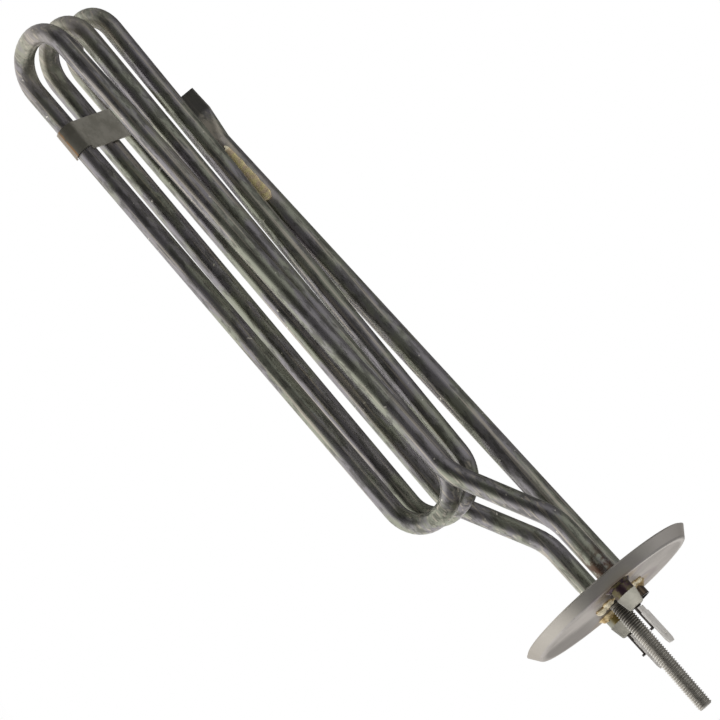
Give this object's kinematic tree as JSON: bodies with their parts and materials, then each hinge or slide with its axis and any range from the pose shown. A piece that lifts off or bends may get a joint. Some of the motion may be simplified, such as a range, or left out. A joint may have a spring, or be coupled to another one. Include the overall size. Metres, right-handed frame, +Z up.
{
  "type": "dishwasher heating element",
  "caption": "Sealed tubular heater bent into long nested loops, brazed through a round pressed flange with a clamping stud, a thermostat pocket and flat plug terminals.",
  "frame": {"origin": "middle of the flange's outer face, at the foot of the clamping stud", "axes": "+X along the stud, away from the tank, so the loops reach towards -X; +Z up, with the two terminals level with the stud, one each side along Y"},
  "size_m": [0.3672, 0.0758, 0.0827],
  "materials": {
    "sheath_steel": "smooth drawn tube, heat-dulled and lightly scratched",
    "pocket_steel": "smooth drawn tube, brown heat tint at the mouth",
    "flange_steel": "polished pressed sheet, fine brushing",
    "stud_steel": "bright rolled thread",
    "strap_steel": "matte sheet, heat-dulled",
    "pin_steel": "dark oxidised",
    "tab_steel": "bright plated sheet",
    "winding_wire": "satin wire",
    "bush_ceramic": "matte unglazed",
    "fill_ceramic": "pressed powder",
    "seal_rubber": "soft silicone",
    "braze_metal": "rough, as flowed"
  },
  "bodies": {
    "root": {"sheath_tube": "sheath_steel", "magnesia_fill": "fill_ceramic", "resistance_winding": "winding_wire", "terminal_pin_a": "pin_steel", "terminal_pin_b": "pin_steel", "end_seal_a": "seal_rubber", "end_seal_b": "seal_rubber", "ceramic_bush_a": "bush_ceramic", "ceramic_bush_b": "bush_ceramic", "plug_tab_a": "tab_steel", "plug_tab_b": "tab_steel", "lead_braze_a": "braze_metal", "lead_braze_b": "braze_metal", "flange": "flange_steel", "clamp_stud": "stud_steel", "stud_weld": "flange_steel", "thermostat_pocket": "pocket_steel", "pocket_braze": "braze_metal", "seam_braze": "braze_metal", "loop_strap": "strap_steel"}
  },
  "joints": []
}
